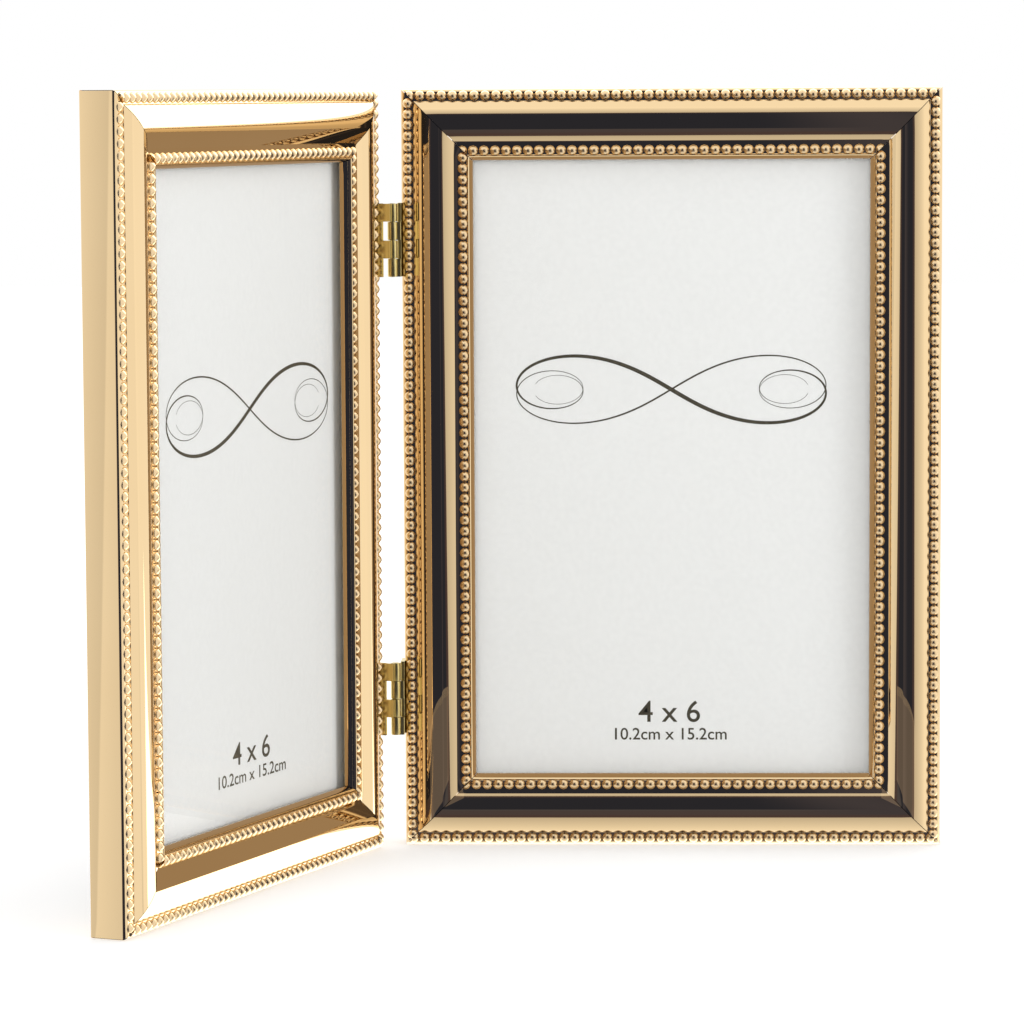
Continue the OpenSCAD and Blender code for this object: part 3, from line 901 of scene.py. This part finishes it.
# %% Paint the pale card
OPEN_X, OPEN_S, OPEN_SOFT = (-0.206, 0.203), (0.0, 0.584), 0.004
PALE_NEAR, PALE_FAR, PALE_REACH, PALE_POWER = 0.65, 1.2, 0.4, 0.7
STRIP_X, STRIP_GAIN = (-0.30, -0.208), 0.2
FOOT_S, FOOT_LINE_S, FOOT_LINE_SOFT = (0.085, 0.075), (0.078, 0.086), 0.002
STRIPE_X, STRIPE_SOFT, RIM = (0.045, 0.085), 0.02, (-0.05, -0.015)
DARK, DARK_FOOT, DARK_LINE = (0.0265, 0.0323, 0.0614), (0.082, 0.077, 0.11), (0.085, 0.09, 0.13)
DARK_STRIPE, DARK_RIM = (0.064, 0.066, 0.105), (0.085, 0.066, 0.085)
beyond = calc(tree, "MAXIMUM", outside_of(tree, across, *OPEN_X), outside_of(tree, up, *OPEN_S))
share = calc(tree, "POWER", calc(tree, "DIVIDE", beyond, PALE_REACH, clamp=True), PALE_POWER)
strip = calc(tree, "MULTIPLY", window(tree, across, *STRIP_X, OPEN_SOFT), STRIP_GAIN)
pale = calc(tree, "ADD", between(tree, share, PALE_NEAR, PALE_FAR), strip)
dark = blend(tree, ramp_up(tree, up, *FOOT_S), DARK, DARK_FOOT)
dark = blend(tree, window(tree, up, *FOOT_LINE_S, FOOT_LINE_SOFT), dark, DARK_LINE)
dark = blend(tree, window(tree, across, *STRIPE_X, STRIPE_SOFT), dark, DARK_STRIPE)
dark = blend(tree, ramp_up(tree, beyond, *RIM), dark, DARK_RIM)
shown = blend(tree, ramp_up(tree, beyond, -OPEN_SOFT, OPEN_SOFT), dark, pale)
surface(tree, node(tree, "ShaderNodeEmission", {"Color": shown, "Strength": 1.0}))
print("the opening is", round(OPEN_X[1] - OPEN_X[0], 2), "m wide and", OPEN_S[1] - OPEN_S[0], "m high")

# %% [markdown]
# More cards stand close by, each shining to one side only and clear from the other. A pale one
# keeps the dark opening away from the left frame's near stile. A brown one in each frame's window
# is a painted reflection: the mouldings round the window show its plain brown there in place of the
# pale card, which the camera still sees. Two bright ones stand over and under the right frame and
# make the left frame's rails shine white. Where a card is mirrored, its corners are taken in the
# opposite order, so that it still shines to the side it should.

# %% Stand up the one-sided cards
SIDE_X, SIDE_Y, SIDE_Z, SIDE_GLOW = -0.07, (-0.245, -0.13), (-0.15, 0.35), (1.12, 1.12, 1.12)
BROWN_LIFT, BROWN_GLOW = 0.1, (0.41, 0.31, 0.21)
BRIGHT_X, UPPER_Z, LOWER_Z, BRIGHT_GLOW = (-0.08, 0.7), (0.179, 1.0), (-0.8, -0.0025), (3.0, 3.0, 3.0)


def one_sided_card(name, corners, colour, veil=False):
    """A flat card that shines in reflections on the side its corners run anticlockwise from, and lets
    rays through from the other side. A veil also lets through what lies behind its bright side."""
    card, tree = reflected_card(name, corners)
    glow = node(tree, "ShaderNodeEmission", {"Color": (*colour, 1), "Strength": 1.0})
    clear = node(tree, "ShaderNodeBsdfTransparent")
    if veil:
        glow = node(tree, "ShaderNodeAddShader", {0: glow.outputs[0], 1: clear.outputs[0]})
    side = node(tree, "ShaderNodeNewGeometry").outputs["Backfacing"]
    surface(tree, node(tree, "ShaderNodeMixShader", {0: side, 1: glow.outputs[0], 2: clear.outputs[0]}))
    return card


side_corners = [(SIDE_X, y, z) for z, y in rectangle(SIDE_Z, SIDE_Y)]
cards = [one_sided_card("side_card", side_corners, SIDE_GLOW)]
opening = rectangle((MOULDING_W, LEAF_W - MOULDING_W), (MOULDING_W, LEAF_H - MOULDING_W))
# Each frame's window gets a painted brown reflection: a glowing card that only reflections see.
for side, hand in (("right", 1), ("left", -1)):
    corners = place([(x, LEDGE_D + BROWN_LIFT, z) for x, z in opening], side).tolist()
    cards.append(one_sided_card(f"{side}_brown_painted_reflection", corners[::hand], BROWN_GLOW))
for name, span in (("upper_card", UPPER_Z), ("lower_card", LOWER_Z)):
    cards.append(one_sided_card(name, [(x, 0, z) for x, z in rectangle(BRIGHT_X, span)], BRIGHT_GLOW))
for card in cards:
    print(card.name, "faces", [round(v, 2) for v in card.data.polygons[0].normal])

# %% [markdown]
# The foot of each of the right frame's stiles shines a lighter brown, up to a rounded end. A veil,
# a card that only adds a little light, hangs close before each foot. Its outline runs along the
# mitre at the bottom and ends in a quarter of an ellipse at the top, and a brighter streak follows
# that curve.

# %% Hang the veils
VEIL_X, VEIL_Y, VEIL_Z, VEIL_MITRE = (0.049, 0.0587), -0.0095, (0.0235, 0.0369), 0.0638
STREAK, VEIL_GLOW, STREAK_GLOW = 0.0022, (0.116, 0.101, 0.093), (0.09, 0.08, 0.065)
(inner_x, outer_x), (low_z, high_z) = VEIL_X, VEIL_Z
quarter = np.linspace(0, np.pi / 2, 13)
over = inner_x + (outer_x - inner_x) * np.cos(quarter)
top = low_z + (high_z - low_z) * np.sin(quarter)
curve = list(zip(over[::-1], top[::-1]))
veil = [(inner_x, VEIL_MITRE - inner_x), *curve, (outer_x, VEIL_MITRE - outer_x)]
streak = [*curve, *zip(over[1:], top[1:] - STREAK * np.sin(quarter[1:]))]
for name, hand in (("free_stile", 1), ("hinge_stile", -1)):
    for kind, outline, colour in (("veil", veil, VEIL_GLOW), ("streak", streak, STREAK_GLOW)):
        corners = [(hand * x, VEIL_Y, z) for x, z in outline]
        card = one_sided_card(f"{name}_{kind}", corners[::hand], colour, veil=True)
        print(card.name, "faces", [round(v, 2) for v in card.data.polygons[0].normal])

# %% [markdown]
# ## Lamps
# Three large soft lamps light the printed cards and the floor, and cast the soft shadow under the
# frames. Reflections leave them out, because the world and the staged cards stand for them there.
# The plain view transform keeps white paper white.

# %% Set up the soft lamps
LAMPS = {
    "front_lamp": {"stand": (-0.1, -1.6, 0.35), "aim": (-0.03, -0.05, 0.08), "size": 0.8, "power": 8.5},
    "side_lamp": {"stand": (1.45, -0.75, 0.3), "aim": (-0.03, -0.05, 0.08), "size": 0.8, "power": 10.0},
    "top_lamp": {"stand": (0.1, 0.35, 1.2), "aim": (-0.03, -0.05, 0.05), "size": 0.7, "power": 3.0},
}


def soft_lamp(name, stand, aim, size, power):
    """A square lamp that stands at one point and faces another."""
    data = bpy.data.lights.new(name, "AREA")
    data.size, data.energy = size, power
    lamp = bpy.data.objects.new(name, data)
    lamp.location = stand
    lamp.rotation_mode = "QUATERNION"
    lamp.rotation_quaternion = (Vector(aim) - Vector(stand)).to_track_quat("-Z", "Y")
    lamp.visible_glossy = False
    bpy.context.scene.collection.objects.link(lamp)
    return lamp


lamps = [soft_lamp(name, **values) for name, values in LAMPS.items()]
bpy.context.scene.view_settings.view_transform = "Standard"
print("lamps:", [lamp.name for lamp in lamps])
